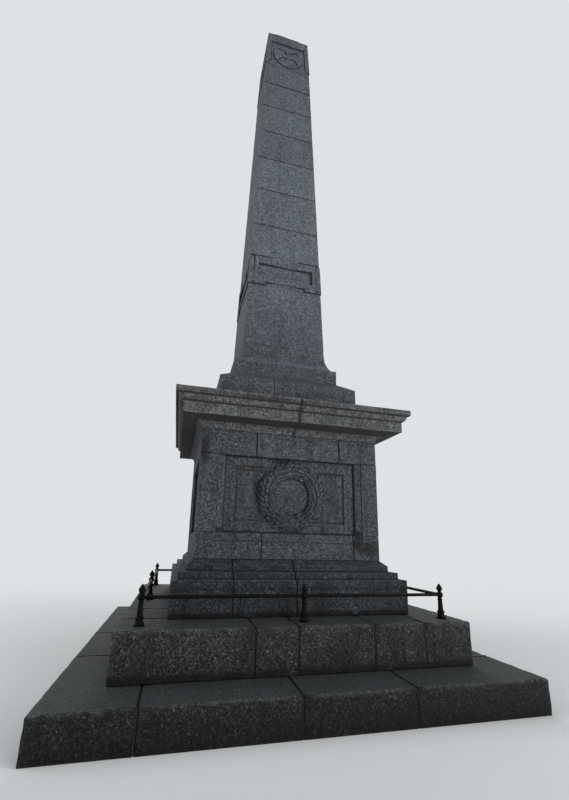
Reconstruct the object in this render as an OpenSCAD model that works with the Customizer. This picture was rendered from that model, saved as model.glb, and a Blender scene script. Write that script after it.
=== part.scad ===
// Granite memorial obelisk on two railed steps.
// Millimetres, +Z up, front towards -Y, origin on the ground under the middle.
// Sides are numbered by quarter turns: 0 front, 1 right, 2 back, 3 left.

/* [Bottom step] */
// Width of the bottom step, on each of its four sides
bottom_step_w = 4570; // [4200:10:5200]
// Height of the bottom step
bottom_step_h = 320; // [200:5:450]
// Depth of its stones from face to core
bottom_step_bed = 758; // [500:2:900]
// Head joints along one side, as shares of the run of stones
bottom_step_joints = [0.343, 0.621]; // [0.1:0.001:0.9]

/* [Second step] */
// Width of the second step
second_step_w = 3650; // [3400:10:4000]
// Height of the second step
second_step_h = 435; // [250:5:500]
// Depth of its stones from face to core
second_step_bed = 557; // [480:1:600]
// Head joints along one side, as shares of the run of stones
second_step_joints = [0.415, 0.554, 0.815]; // [0.1:0.001:0.9]

/* [Stonework] */
// Width of an open head joint between two stones
joint_w = 6; // [3:1:10]
// Eased edge of the dressed stones
arris = 5; // [2:1:8]
// Worn upper edge of the step stones
nosing = 14; // [6:1:24]

/* [Railing] */
// Distance from the edge of the second step to the middle of a post
post_inset = 208; // [150:1:240]
// Height of a post with its finial
post_h = 370; // [350:5:460]
// Diameter of the round foot of a post
post_foot_d = 104; // [92:2:130]
// Height of the foot up to the top of its ring
post_foot_h = 80; // [70:1:95]
// Diameter of the foot under its ring
post_waist_d = 68; // [60:1:76]
// Diameter of a post's shaft over the ring
post_low_d = 58; // [50:1:64]
// Diameter of the shaft under the boss
post_top_d = 44; // [36:1:48]
// Diameter of the neck over the boss
post_neck_d = 36; // [28:1:42]
// Diameter of the acorn finial
finial_d = 64; // [56:1:72]
// Height of the acorn finial
finial_h = 86; // [80:1:96]
// Diameter of the boss that takes the rails
boss_d = 72; // [66:1:80]
// Diameter of the rail
rail_d = 34; // [26:1:38]
// Height of the rail's middle above the step
rail_z = 250; // [235:1:262]
// Depth of the socket that a rail ends in
socket_depth = 14; // [8:1:14]

/* [Moulded base] */
// Width of the base course at its foot
base_w = 2740; // [2600:10:3000]
// Height of its plain face
base_face_h = 380; // [300:5:460]
// Depth of its stones from face to core
base_bed = 657; // [560:1:700]
// Head joint along one side, as a share of the run of stones
base_joints = [0.341]; // [0.1:0.001:0.9]
// Width over the inset plinth
plinth_w = 2596; // [2520:4:2620]
// Height of the inset plinth
plinth_h = 76; // [50:2:110]
// Width over the upright foot of the weathering
weathering_w = 2426; // [2380:2:2480]
// Height of that upright foot
weathering_foot_h = 68; // [40:2:100]
// Rise of the slope up to the die
weathering_rise = 58; // [30:2:90]

/* [Die] */
// Width of the die
die_w = 2286; // [2160:6:2340]
// Height of the die's lower course
die_base_h = 296; // [220:4:360]
// Depth of the lower course's stones
die_base_bed = 343; // [320:1:400]
// Head joint along one side of the lower course, as a share of the run
die_base_joints = [0.398]; // [0.1:0.001:0.9]
// Height of the panel stage
panel_h = 917; // [860:1:1100]
// Width of a corner pier
pier_w = 302; // [240:2:340]
// Depth of the panel behind the face of the die
panel_recess = 62; // [40:1:90]
// Height of the frieze course
frieze_h = 304; // [220:4:360]
// Depth of the frieze stones
frieze_bed = 525; // [400:5:600]
// Head joint along one side of the frieze, as a share of the run
frieze_joints = [0.385]; // [0.1:0.001:0.9]

/* [Panel dressing] */
// Width of the bevelled margin on the piers
margin_w = 80; // [50:2:110]
// Height of the bevelled margin under the panel
margin_h = 100; // [60:2:140]
// Depth of the bevel at the panel
margin_depth = 25; // [18:1:35]
// Depth of the sharp step at the bevel's outer edge
margin_step = 8; // [2:1:14]
// Plain border between the pier and the sunk field of the panel
field_border = 138; // [80:2:200]
// Height of the sunk field above the foot of the panel
field_foot = 138; // [80:2:200]
// Plain border over the sunk field
field_head = 152; // [80:2:200]
// Depth of the sunk field
field_depth = 12; // [6:1:20]

/* [Wreath] */
// Radius to the middle of the wreath's ring
wreath_r = 328; // [290:2:334]
// Half width of the ring
wreath_half_w = 92; // [60:1:96]
// Relief of the ring in front of the panel
wreath_relief = 52; // [30:1:60]
// Height of the wreath's middle above the foot of the panel
wreath_up = 456; // [450:2:470]
// Width of the ribbon's ends
ribbon_w = 34; // [20:1:40]
// Length of the ribbon's ends
ribbon_l = 150; // [110:5:155]
// Angle of the ribbon's ends from the upright
ribbon_spread = 52; // [50:1:66]
// Relief of the ribbon
ribbon_relief = 26; // [14:1:34]

/* [Cornice] */
// Width over the top fillet of the cornice
cornice_w = 2970; // [2860:10:3060]
// Height of the cavetto under the soffit
bed_mould_h = 85; // [50:1:120]
// Projection of that cavetto
bed_mould_out = 112; // [60:2:120]
// Fall of the soffit towards the cavetto
soffit_fall = 22; // [0:1:40]
// Width over the upright face of the corona
corona_w = 2792; // [2700:4:2840]
// Height of the corona
corona_h = 136; // [90:2:180]
// Height of the moulding between corona and top fillet
cyma_h = 78; // [50:1:110]
// Height of the top fillet
fillet_h = 66; // [40:1:90]
// Rise of the weathered top towards the shaft
cornice_rise = 60; // [20:2:80]

/* [Blocking course and foot] */
// Width of the blocking course
blocking_w = 1920; // [1760:10:2000]
// Height of its upright face
blocking_h = 352; // [260:4:420]
// Rise of its weathered top
blocking_rise = 142; // [80:2:180]
// Distance of its head joint to the left of the middle
blocking_joint = 226; // [0:2:400]
// Width of the shaft's foot block
foot_w = 1520; // [1400:10:1600]
// Height of the foot block's upright face
foot_h = 210; // [140:5:280]
// Height of the flare that leads up into the shaft
flare_h = 342; // [240:2:420]

/* [Shaft] */
// Width of the shaft above the flare
shaft_foot_w = 1239; // [1160:3:1320]
// Width of the shaft at the very top
shaft_top_w = 798; // [700:2:900]
// Height of the course under the band
lower_course_h = 1035; // [800:5:1200]
// Height of the band course
band_h = 517; // [440:2:620]
// Heights of the three lower plain courses over the band
mid_course_h = [630, 737, 694]; // [500:1:900]
// Heights of the three upper plain courses
high_course_h = [630, 620, 583]; // [500:1:900]
// Height of the head block
head_h = 1370; // [1200:5:1500]

/* [Band] */
// Projection of the band in front of the shaft
band_out = 17; // [10:1:30]
// Width of the lower strip along each corner of the band
corner_strip_w = 75; // [50:1:100]
// Depth of that strip behind the face of the band
corner_strip_sunk = 8; // [3:1:9]
// Rounding of the band's inner corners at the notches
ear_round = 26; // [10:1:28]
// Half width of the notch in its upper edge
upper_notch = 178; // [100:2:240]
// Half width of the notch in its lower edge
lower_notch = 315; // [200:5:380]
// Height of the lower notch
lower_notch_h = 60; // [30:1:90]
// Half width of the sunk tablet
tablet_half_w = 437; // [300:1:460]
// Height of the sunk tablet above the band's foot
tablet_foot = 147; // [110:1:190]
// Height of the sunk tablet
tablet_h = 249; // [180:1:260]
// Depth of the tablet behind the face of the shaft
tablet_depth = 25; // [10:1:40]

/* [Head] */
// Height of the head panel's open foot above the joint
head_foot = 512; // [440:2:620]
// Plain border over the head panel
head_border = 195; // [120:5:260]
// Width of the two side strips
strip_w = 80; // [50:1:100]
// Projection of the strips at their lower ends
strip_out = 9; // [4:1:16]
// Depth of the panel at its upper edge
head_panel_depth = 22; // [12:1:34]
// Height of the splayed lower ends of the strips
strip_stop = 84; // [40:2:120]
// Radius of the roundel with the cross
roundel_r = 286; // [220:1:286]
// Height of the roundel's middle above the open foot
roundel_up = 322; // [300:2:350]
// Thickness of the roundel in front of the panel
roundel_relief = 16; // [8:1:24]
// Half width of a sunk leaf between two arms of the cross
leaf_half_w = 64; // [40:1:80]
// Distance of a leaf's inner tip from the middle
leaf_start = 34; // [20:1:60]
// Plain rim of the roundel outside the leaves
roundel_rim = 14; // [8:1:24]

/* [Cap] */
// Width of the cap stone
cap_w = 526; // [420:2:640]
// Height of the cap stone's upright face
cap_h = 272; // [120:4:300]
// Rise of its weathered top
cap_rise = 32; // [10:1:60]

/* [Hidden] */
$fn = 64;
// Steps in one quarter of a moulding's curve
curve_steps = 8;
big = 20000;

bottom_half = bottom_step_w / 2;
second_half = second_step_w / 2;
base_half = base_w / 2;
die_half = die_w / 2;
panel_half = die_half - pier_w;
corona_half = corona_w / 2;
cornice_half = cornice_w / 2;
blocking_half = blocking_w / 2;
foot_half = foot_w / 2;

second_z = bottom_step_h;
base_z = second_z + second_step_h;
plinth_z = base_z + base_face_h;
weathering_z = plinth_z + plinth_h;
slope_z = weathering_z + weathering_foot_h;
die_z = slope_z + weathering_rise;
panel_z = die_z + die_base_h;
frieze_z = panel_z + panel_h;
cornice_z = frieze_z + frieze_h;
soffit_z = cornice_z + bed_mould_h;
corona_z = soffit_z + soffit_fall;
cyma_z = corona_z + corona_h;
fillet_z = cyma_z + cyma_h;
fillet_top = fillet_z + fillet_h;
blocking_z = fillet_top + cornice_rise;
blocking_slope_z = blocking_z + blocking_h;
foot_z = blocking_slope_z + blocking_rise;
flare_z = foot_z + foot_h;
shaft_z = flare_z + flare_h;
band_z = shaft_z + lower_course_h;
band_top = band_z + band_h;
plain_course_h = concat(mid_course_h, high_course_h);
head_z = course_z(len(plain_course_h));
cap_z = head_z + head_h;

tablet_z = band_z + tablet_foot;
tablet_top = tablet_z + tablet_h;
strip_z = head_z + head_foot;
head_panel_top = cap_z - head_border;
roundel_z = strip_z + roundel_up;
wreath_z = panel_z + wreath_up;
post_place = second_half - post_inset;
panel_face = die_half - panel_recess;

// Foot of plain course n over the band
function course_z(n) = n == 0 ? band_top : course_z(n - 1) + plain_course_h[n - 1];

// Half width of the tapering shaft at height z
function shaft_half(z) =
    (shaft_foot_w + (shaft_top_w - shaft_foot_w) * (z - shaft_z) / (cap_z - shaft_z)) / 2;

// Quarter of an ellipse about [x, z]: radii a and b, from angle start, turning by turn
function quarter(x, z, a, b, start, turn) =
    [for (i = [0 : curve_steps]) let (t = start + turn * i / curve_steps)
        [x + a * cos(t), z + b * sin(t)]];

// Upright outline from z0 to z1 with its lower and upper edges eased
function eased(half, z0, z1, foot = arris, top = arris) =
    [[half - foot, z0], [half, z0 + foot], [half, z1 - top], [half - top, z1]];

// The same for a length of the tapering shaft, standing out by extra
function eased_taper(z0, z1, extra = 0) =
    [[shaft_half(z0) + extra - arris, z0],
     [shaft_half(z0 + arris) + extra, z0 + arris],
     [shaft_half(z1 - arris) + extra, z1 - arris],
     [shaft_half(z1) + extra - arris, z1]];

function both_sides(outline) =
    concat(outline, [for (i = [len(outline) - 1 : -1 : 0]) [-outline[i][0], outline[i][1]]]);

// Mass of square plan that reaches the outline's half width on all four sides,
// so that every moulding is mitred at the corners
module square_mass(outline) {
    intersection() {
        rotate([90, 0, 0]) linear_extrude(height = big, center = true)
            polygon(both_sides(outline));
        rotate([90, 0, 90]) linear_extrude(height = big, center = true)
            polygon(both_sides(outline));
    }
}

// Stones of one side. They run from the corner at one end to the bed of the
// neighbouring side at the other: hand 1 leaves the right end to the neighbour,
// hand -1 the left end, so the two steps break joint with each other.
module side_run(half, bed, z0, z1, joints, hand) {
    start = hand > 0 ? -half : bed - half + joint_w;
    end = hand > 0 ? half - bed - joint_w : half;
    stops = concat([0], joints, [1]);
    last = len(stops) - 1;
    for (i = [0 : last - 1]) {
        x0 = start + (end - start) * stops[i] + (i == 0 ? 0 : joint_w / 2);
        x1 = start + (end - start) * stops[i + 1] - (i == last - 1 ? 0 : joint_w / 2);
        translate([x0, -half, z0]) cube([x1 - x0, bed, z1 - z0]);
    }
}

module turned(side) {
    rotate([0, 0, 90 * side]) children();
}

module bottom_step(side) {
    color("#6f6e6b") turned(side) intersection() {
        square_mass(eased(bottom_half, 0, second_z, foot = arris, top = nosing));
        side_run(bottom_half, bottom_step_bed, 0, second_z, bottom_step_joints, -1);
    }
}

module second_step(side) {
    color("#6a6a68") turned(side) intersection() {
        square_mass(eased(second_half, second_z, base_z, foot = arris, top = nosing));
        side_run(second_half, second_step_bed, second_z, base_z, second_step_joints, 1);
    }
}

// Rubble hearting inside the two steps
module steps_core() {
    lower = bottom_half - bottom_step_bed;
    upper = second_half - second_step_bed;
    color("#8a8578") {
        translate([-lower, -lower, 0]) cube([2 * lower, 2 * lower, second_z]);
        translate([-upper, -upper, second_z]) cube([2 * upper, 2 * upper, second_step_h]);
    }
}

// Half of a ball's outline: its middle at height z on the axis
module half_disc(r, z) {
    intersection() {
        translate([0, z]) circle(r = r);
        translate([0, z - r]) square([r, 2 * r]);
    }
}

// Hollow foot of a post: a plain edge, a cove up to the waist and a round ring
module post_foot_outline() {
    foot_t = 12;
    ring_r = 12;
    foot_r = post_foot_d / 2;
    waist_r = post_waist_d / 2;
    waist_z = post_foot_h - 2 * ring_r;
    cove_w = foot_r - waist_r;
    cove_h = waist_z - foot_t;
    cove_r = (cove_w * cove_w + cove_h * cove_h) / (2 * cove_w);
    difference() {
        square([foot_r, waist_z]);
        translate([waist_r + cove_r, waist_z]) circle(r = cove_r);
    }
    translate([waist_r - ring_r / 3, post_foot_h - ring_r]) circle(r = ring_r);
    translate([0, waist_z]) square([waist_r - ring_r / 3, 2 * ring_r]);
}

// Acorn: a ball with a small ball for its tip and the cone that touches both
module finial_outline() {
    tip_r = 7;
    body_r = finial_d / 2;
    tip_z = post_h - tip_r;
    body_z = post_h - finial_h + body_r;
    lean = asin((body_r - tip_r) / (tip_z - body_z));
    half_disc(body_r, body_z);
    half_disc(tip_r, tip_z);
    polygon([[0, body_z], [body_r * cos(lean), body_z + body_r * sin(lean)],
             [tip_r * cos(lean), tip_z + tip_r * sin(lean)], [0, tip_z + tip_r * sin(lean)]]);
}

// Turned post: foot, tapering shaft with a collar, boss for the rails, finial
module post() {
    top_r = post_top_d / 2;
    collar_r = 6;
    collar_z = rail_z - boss_d / 2 - 3 * collar_r;
    rotate_extrude() union() {
        post_foot_outline();
        polygon([[0, 0], [post_low_d / 2, 0], [post_low_d / 2, post_foot_h],
                 [top_r, collar_z], [top_r, rail_z], [0, rail_z]]);
        translate([top_r, collar_z]) circle(r = collar_r);
        half_disc(boss_d / 2, rail_z);
        translate([0, rail_z]) square([post_neck_d / 2, post_h - finial_d - rail_z]);
        finial_outline();
    }
}

// Post with a blind socket towards each of its two neighbours
module socketed_post(ways) {
    difference() {
        post();
        for (way = ways) rotate([0, 0, way]) translate([boss_d / 2 - socket_depth, 0, rail_z])
            rotate([0, 90, 0]) cylinder(r = rail_d / 2, h = big / 100);
    }
}

module railing_corner_posts() {
    color("#17181a") for (side = [0 : 3]) turned(side)
        translate([-post_place, -post_place, base_z]) socketed_post([0, 90]);
}

module railing_middle_posts() {
    color("#17181a") for (side = [0 : 3]) turned(side)
        translate([0, -post_place, base_z]) socketed_post([0, 180]);
}

// Two lengths of rail on each side, from socket to socket
module railing_rails() {
    seat = boss_d / 2 - socket_depth;
    color("#17181a") for (side = [0 : 3]) turned(side)
        for (x = [-post_place, 0]) translate([x + seat, -post_place, base_z + rail_z])
            rotate([0, 90, 0]) cylinder(r = rail_d / 2, h = post_place - 2 * seat);
}

function base_outline() = concat(
    eased(base_half, base_z, plinth_z),
    [[plinth_w / 2, plinth_z], [plinth_w / 2, weathering_z],
     [weathering_w / 2, weathering_z], [weathering_w / 2, slope_z], [die_half, die_z]]);

// Base course, plinth and weathering are worked on the same stones
module base_course(side) {
    color("#5f605d") turned(side) intersection() {
        square_mass(base_outline());
        side_run(base_half, base_bed, base_z, die_z, base_joints, -1);
    }
}

module die_block(outline) {
    difference() {
        square_mass(outline);
        for (side = [0 : 3]) turned(side) margin_cut();
    }
}

// Sunk bevel round a panel: its foot is cut in the die's lower course, its two
// sides in the corner piers. A sharp step leads into a bevel that narrows with depth.
module margin_cut() {
    outer = panel_half + margin_w;
    low = panel_z - margin_h;
    face = -die_half;
    step = face + margin_step;
    deep = face + margin_depth;
    front = face - die_half;
    intersection() {
        linear_extrude(height = frieze_z)
            polygon([[-outer, front], [outer, front], [outer, step], [panel_half, deep],
                     [-panel_half, deep], [-outer, step]]);
        rotate([90, 0, 90]) linear_extrude(height = big, center = true)
            polygon([[front, low], [step, low], [deep, panel_z], [deep, frieze_z],
                     [front, frieze_z]]);
    }
}

module die_base_course() {
    color("#595a59") for (side = [0 : 3]) turned(side) intersection() {
        die_block(eased(die_half, die_z, panel_z, top = 0));
        side_run(die_half, die_base_bed, die_z, panel_z, die_base_joints, 1);
    }
}

// Corner pier at the left end of a side
module die_pier(side) {
    color("#5c5d5c") turned(side) intersection() {
        die_block(eased(die_half, panel_z, frieze_z));
        translate([-die_half, -die_half, panel_z]) cube([pier_w, pier_w, panel_h]);
    }
}

module panel_slab() {
    width = 2 * (panel_half - joint_w);
    field_half = panel_half - field_border;
    difference() {
        translate([-width / 2, -panel_face, panel_z]) cube([width, panel_face - panel_half, panel_h]);
        translate([-field_half, -panel_face - 1, panel_z + field_foot])
            cube([2 * field_half, field_depth + 1, panel_h - field_foot - field_head]);
    }
}

module die_panel(side) {
    color("#565756") turned(side) panel_slab();
}

// Ring of the wreath in relief, its two branches tied at the foot
module wreath() {
    back = field_depth;
    translate([0, -panel_face, wreath_z]) rotate([90, 0, 0]) {
        rotate_extrude() translate([wreath_r, 0]) {
            intersection() {
                ring_section();
                translate([-wreath_half_w, 0]) square([2 * wreath_half_w, wreath_relief]);
            }
            translate([-wreath_half_w, -back]) square([2 * wreath_half_w, back]);
        }
        translate([0, -wreath_r, -back]) ribbon();
    }
}

// Rounded section of the ring: a flat arc as wide as the ring
module ring_section() {
    r = (wreath_half_w * wreath_half_w + wreath_relief * wreath_relief) / (2 * wreath_relief);
    translate([0, wreath_relief - r]) circle(r = r);
}

// Knot with two ends spread to the sides, forked at their tips
module ribbon() {
    knot_proud = 6;
    linear_extrude(height = wreath_relief + field_depth + knot_proud)
        circle(r = ribbon_w * 0.8);
    for (way = [-1, 1]) rotate([0, 0, way * ribbon_spread - 90])
        linear_extrude(height = ribbon_relief + field_depth)
            polygon([[0, -ribbon_w / 2], [ribbon_l, -ribbon_w / 2], [ribbon_l - ribbon_w / 2, 0],
                     [ribbon_l, ribbon_w / 2], [0, ribbon_w / 2]]);
}

module die_panel_front() {
    color("#565756") union() {
        panel_slab();
        wreath();
    }
}

module frieze_course() {
    color("#5e5f5e") for (side = [0 : 3]) turned(side) intersection() {
        square_mass(eased(die_half, frieze_z, cornice_z, foot = 0, top = 0));
        side_run(die_half, frieze_bed, frieze_z, cornice_z, frieze_joints, 1);
    }
}

// Hearting inside the pedestal, course by course
module pedestal_core() {
    levels = [[base_half - base_bed, base_z, die_z], [die_half - die_base_bed, die_z, panel_z],
              [panel_half, panel_z, frieze_z], [die_half - frieze_bed, frieze_z, cornice_z]];
    color("#8a8578") for (level = levels)
        translate([-level[0], -level[0], level[1]])
            cube([2 * level[0], 2 * level[0], level[2] - level[1]]);
}

// Cavetto, soffit, corona, cyma and top fillet, from the die outwards
function cornice_outline() = concat(
    [for (p = quarter(die_half + bed_mould_out, cornice_z, bed_mould_out, bed_mould_h, 180, -90)) p],
    [[corona_half, corona_z], [corona_half, cyma_z]],
    cyma_curve(corona_half, cyma_z, cornice_half - corona_half, cyma_h),
    [[cornice_half, fillet_z], [cornice_half, fillet_top - arris],
     [cornice_half - arris, fillet_top], [blocking_half, blocking_z]]);

// Rounded below and hollow above, between two points a wide and b high apart
function cyma_curve(x, z, a, b) = concat(
    quarter(x, z + b / 2, a / 2, b / 2, -90, 90),
    quarter(x + a, z + b / 2, a / 2, b / 2, 180, -90));

// The cornice is four stones that meet under the middle of each side
module cornice(side) {
    edge = joint_w / 2;
    color("#5b5b58") turned(side) intersection() {
        square_mass(cornice_outline());
        translate([-big, -big, cornice_z]) cube([big - edge, big - edge, big]);
    }
}

function blocking_outline() =
    [[blocking_half, blocking_z], [blocking_half, blocking_slope_z], [foot_half, foot_z]];

module blocking_stone(x0, x1) {
    color("#5a5b59") intersection() {
        square_mass(blocking_outline());
        translate([x0, -big / 2, blocking_z]) cube([x1 - x0, big, big]);
    }
}

module blocking_left() {
    blocking_stone(-big, -blocking_joint - joint_w / 2);
}

module blocking_right() {
    blocking_stone(-blocking_joint + joint_w / 2, big);
}

// Foot block: an upright face, then a hollow flare up to the shaft
module shaft_foot() {
    flare_w = foot_half - shaft_half(shaft_z);
    color("#60605f") square_mass(concat(
        [[foot_half - arris, foot_z], [foot_half, foot_z + arris], [foot_half, flare_z]],
        quarter(foot_half, shaft_z, flare_w, flare_h, 270, -90)));
}

module shaft_lower() {
    color("#6b6e72") square_mass(eased_taper(shaft_z, band_z));
}

// Slots in one face of the band, or the field of its tablet
module across(half_w, z0, z1) {
    translate([-half_w, -big / 2, z0]) cube([2 * half_w, big, z1 - z0]);
}

// Notch in an edge of the band at height edge_z, open upwards with way 1 and
// downwards with way -1, which rounds the band's corners on both sides of it
module rounded_notch(half_w, z0, z1, edge_z, way) {
    across(half_w, z0, z1);
    for (hand = [-1, 1]) translate([hand * half_w, 0, edge_z]) rotate([90, 0, 0])
        linear_extrude(height = big, center = true) difference() {
            square(2 * ear_round, center = true);
            translate([hand * ear_round, -way * ear_round]) circle(r = ear_round);
        }
}

// Band in front of the shaft: its middle stands out from the strips at the corners
module band_face() {
    foot = shaft_half(band_z) - corner_strip_w;
    head = shaft_half(band_top) - corner_strip_w;
    square_mass(eased_taper(band_z, band_top, extra = band_out - corner_strip_sunk));
    for (side = [0, 1]) turned(side) intersection() {
        square_mass(eased_taper(band_z, band_top, extra = band_out));
        rotate([90, 0, 0]) linear_extrude(height = big, center = true)
            polygon([[-foot, band_z], [foot, band_z], [head, band_top], [-head, band_top]]);
    }
}

// Raised band with a notch in the middle of each edge and a sunk tablet
module shaft_band() {
    color("#6d7177") difference() {
        union() {
            square_mass(eased_taper(band_z, band_top));
            difference() {
                band_face();
                for (side = [0, 1]) turned(side) {
                    rounded_notch(upper_notch, tablet_top, band_top + 1, band_top, 1);
                    rounded_notch(lower_notch, band_z - 1, band_z + lower_notch_h, band_z, -1);
                }
            }
        }
        for (side = [0, 1]) turned(side) difference() {
            across(tablet_half_w, tablet_z, tablet_top);
            square_mass([[shaft_half(band_z) - tablet_depth, band_z],
                         [shaft_half(band_top) - tablet_depth, band_top]]);
        }
    }
}

module shaft_course(n) {
    color("#6f7379") square_mass(eased_taper(course_z(n), course_z(n + 1)));
}

// Face of the head's frame, which stands out at its foot and is flush on top
function frame_half(z) = shaft_half(z) + strip_out * (cap_z - z) / (cap_z - strip_z);

// Field of the head panel on one face: between the strips, splayed at the foot
module head_field() {
    splay = 50;
    inner_foot = frame_half(strip_z + strip_stop) - strip_w;
    inner_top = frame_half(head_panel_top) - strip_w;
    wide = frame_half(strip_z) + splay;
    rotate([90, 0, 0]) linear_extrude(height = big)
        polygon([[-wide, strip_z], [wide, strip_z], [inner_foot, strip_z + strip_stop],
                 [inner_top, head_panel_top], [-inner_top, head_panel_top],
                 [-inner_foot, strip_z + strip_stop]]);
}

// Disc with four sunk leaves, which leave the arms of a cross
module roundel() {
    leaf_l = roundel_r - roundel_rim - leaf_start;
    leaf_r = (leaf_l * leaf_l / 4 + leaf_half_w * leaf_half_w) / (2 * leaf_half_w);
    floor_y = panel_floor_half(roundel_z);
    lean = atan((panel_floor_half(strip_z) - panel_floor_half(head_panel_top))
                / (head_panel_top - strip_z));
    sunk = 1;
    translate([0, -floor_y, roundel_z]) rotate([90 - lean, 0, 0]) {
        translate([0, 0, -sunk]) linear_extrude(height = roundel_relief + sunk) difference() {
            circle(r = roundel_r);
            for (turn = [45 : 90 : 315]) rotate([0, 0, turn]) translate([leaf_start + leaf_l / 2, 0])
                intersection() {
                    translate([0, leaf_half_w - leaf_r]) circle(r = leaf_r, $fn = 96);
                    translate([0, leaf_r - leaf_half_w]) circle(r = leaf_r, $fn = 96);
                }
        }
    }
}

// Floor of the head panel: flush with the shaft at its foot, deeper upwards
function panel_floor_half(z) =
    shaft_half(strip_z) + (frame_half(head_panel_top) - head_panel_depth - shaft_half(strip_z))
        * (z - strip_z) / (head_panel_top - strip_z);

module shaft_head() {
    color("#72767d") {
        difference() {
            union() {
                square_mass([[shaft_half(head_z) - arris, head_z],
                             [shaft_half(head_z + arris), head_z + arris],
                             [shaft_half(cap_z) - arris, cap_z]]);
                square_mass([[frame_half(strip_z), strip_z],
                             [frame_half(cap_z - arris), cap_z - arris],
                             [frame_half(cap_z) - arris, cap_z]]);
            }
            for (side = [0 : 3]) turned(side) difference() {
                head_field();
                square_mass([[panel_floor_half(strip_z), strip_z - 1],
                             [panel_floor_half(strip_z), strip_z],
                             [panel_floor_half(head_panel_top), head_panel_top],
                             [panel_floor_half(head_panel_top), head_panel_top + 1]]);
            }
        }
        for (side = [0 : 3]) turned(side) roundel();
    }
}

module cap_stone() {
    half = cap_w / 2;
    color("#6f7379")
        square_mass([[half, cap_z], [half, cap_z + cap_h], [half / 4, cap_z + cap_h + cap_rise]]);
}

steps_core();
bottom_step(0);  // bottom_step_front
bottom_step(1);  // bottom_step_right
bottom_step(2);  // bottom_step_back
bottom_step(3);  // bottom_step_left
second_step(0);  // second_step_front
second_step(1);  // second_step_right
second_step(2);  // second_step_back
second_step(3);  // second_step_left
railing_corner_posts();
railing_middle_posts();
railing_rails();
base_course(0);  // base_course_front
base_course(1);  // base_course_right
base_course(2);  // base_course_back
base_course(3);  // base_course_left
pedestal_core();
die_base_course();
die_pier(0);  // pier_front_left
die_pier(1);  // pier_front_right
die_pier(2);  // pier_back_right
die_pier(3);  // pier_back_left
die_panel_front();
die_panel(1);  // die_panel_right
die_panel(2);  // die_panel_back
die_panel(3);  // die_panel_left
frieze_course();
cornice(0);  // cornice_front_left
cornice(1);  // cornice_front_right
cornice(2);  // cornice_back_right
cornice(3);  // cornice_back_left
blocking_left();
blocking_right();
shaft_foot();
shaft_lower();
shaft_band();
shaft_course(0);  // shaft_course_1
shaft_course(1);  // shaft_course_2
shaft_course(2);  // shaft_course_3
shaft_course(3);  // shaft_course_4
shaft_course(4);  // shaft_course_5
shaft_course(5);  // shaft_course_6
shaft_head();
cap_stone();
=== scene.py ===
# %% [markdown]
# # A granite memorial obelisk
# A tapering granite shaft stands on a pedestal with a deep cornice, on two wide
# steps with a low iron railing, eleven and a half metres high in all. The
# masonry comes from the imported model. This lesson dresses it: worn stone edges,
# mortar joints, dirt and painted shade in the hollows, carved laurel, granite and
# painted iron.

# %% Load the frame
from math import cos, pi, radians
import bmesh
import bpy
import numpy as np
from mathutils import Matrix, Vector


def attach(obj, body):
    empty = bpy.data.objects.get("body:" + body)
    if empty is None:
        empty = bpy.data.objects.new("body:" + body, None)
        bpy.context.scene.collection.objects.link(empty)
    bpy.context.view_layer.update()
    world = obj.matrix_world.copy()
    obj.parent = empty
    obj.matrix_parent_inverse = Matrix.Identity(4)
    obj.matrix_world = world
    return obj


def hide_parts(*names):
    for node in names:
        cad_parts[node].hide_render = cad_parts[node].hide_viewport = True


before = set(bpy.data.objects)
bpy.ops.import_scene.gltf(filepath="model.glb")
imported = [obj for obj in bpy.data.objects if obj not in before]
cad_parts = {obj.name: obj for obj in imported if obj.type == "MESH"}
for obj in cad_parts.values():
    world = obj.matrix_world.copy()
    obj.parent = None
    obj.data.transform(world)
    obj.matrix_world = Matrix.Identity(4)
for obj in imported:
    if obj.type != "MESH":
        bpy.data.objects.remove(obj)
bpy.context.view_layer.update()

# %% [markdown]
# ## Camera
# The picture was taken from near the foot with a very wide lens, tilted up, so
# the verticals lean together. The place and turn below come from a least
# squares fit of the steps, the cornice and the shaft. The lens and the shift
# follow from the focal length and the principal point in pixels.

# %% Camera
PICTURE = (569, 800)  # pixels, width and height
FOCAL, CENTRE = 384.286, (274.785, 445.785)  # pixels: the focal length and the principal point
EYE = (-1.3499, -5.6699, 1.558)  # m
RIGHT = (0.969588, -0.243440, 0.025212)  # the camera's own axes, as unit vectors
UP = (-0.081886, -0.225600, 0.970772)
AHEAD = (0.230637, 0.943314, 0.238674)
SENSOR = 36.0  # mm along the longer side of the picture, its height

lens_data = bpy.data.cameras.new("camera")
lens_data.sensor_width = SENSOR
lens_data.lens = FOCAL * SENSOR / PICTURE[1]
lens_data.shift_x = (PICTURE[0] / 2 - CENTRE[0]) / PICTURE[1]
lens_data.shift_y = (CENTRE[1] - PICTURE[1] / 2) / PICTURE[1]
camera = bpy.data.objects.new("camera", lens_data)
back = [-a for a in AHEAD]
camera.matrix_world = Matrix([*zip(RIGHT, UP, back, EYE), (0, 0, 0, 1)])
bpy.context.scene.collection.objects.link(camera)
bpy.context.scene.camera = camera
print("lens", round(lens_data.lens, 3), "mm on a sensor", SENSOR, "mm high")

# %% [markdown]
# ## Small helpers
# Colours are written as sRGB hex, as a paint chart gives them, and one function
# turns them to the linear values that a shader works in. One function adds a
# node, sets it and links it. Two more read a mesh as arrays and make a piece.

# %% Helpers for colours and nodes
def rgb(hex_text):
    """sRGB hex to linear: each channel c becomes c/12.92 below 0.04045, else ((c+0.055)/1.055)^2.4."""
    c = np.array([int(hex_text[i:i + 2], 16) for i in (1, 3, 5)]) / 255
    c = np.where(c <= 0.04045, c / 12.92, ((c + 0.055) / 1.055) ** 2.4)
    return (*c.tolist(), 1.0)


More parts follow.
